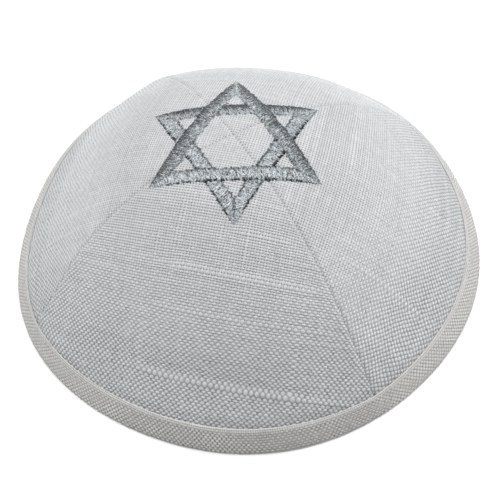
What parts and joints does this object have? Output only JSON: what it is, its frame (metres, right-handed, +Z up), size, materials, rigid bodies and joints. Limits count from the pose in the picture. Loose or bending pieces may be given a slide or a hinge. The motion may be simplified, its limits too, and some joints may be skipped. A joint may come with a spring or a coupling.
{
  "type": "kippah skullcap",
  "caption": "Round cloth skullcap sewn from curved panels, with a folded tape rim and a six-pointed star embroidered over its top; it stands on its rim, hollow side down.",
  "frame": {"origin": "middle of the cap's bounding box, on the surface that the rim stands on", "axes": "+Z up through the crown, -Y towards the front panel and the star's lower tip, +X to the right as seen from the front"},
  "size_m": [0.1642, 0.1644, 0.0487],
  "materials": {
    "panel_cloth": "off-white plain-weave linen cotton with slubs, matte",
    "rim_tape": "off-white bias-cut plain-weave tape, matte",
    "metallic_thread": "silver-grey metallic satin stitch, semi-gloss"
  },
  "bodies": {
    "root": {"panel_front": "panel_cloth", "panel_right": "panel_cloth", "panel_back": "panel_cloth", "panel_left": "panel_cloth", "rim_binding": "rim_tape", "star_embroidery": "metallic_thread"}
  },
  "joints": []
}
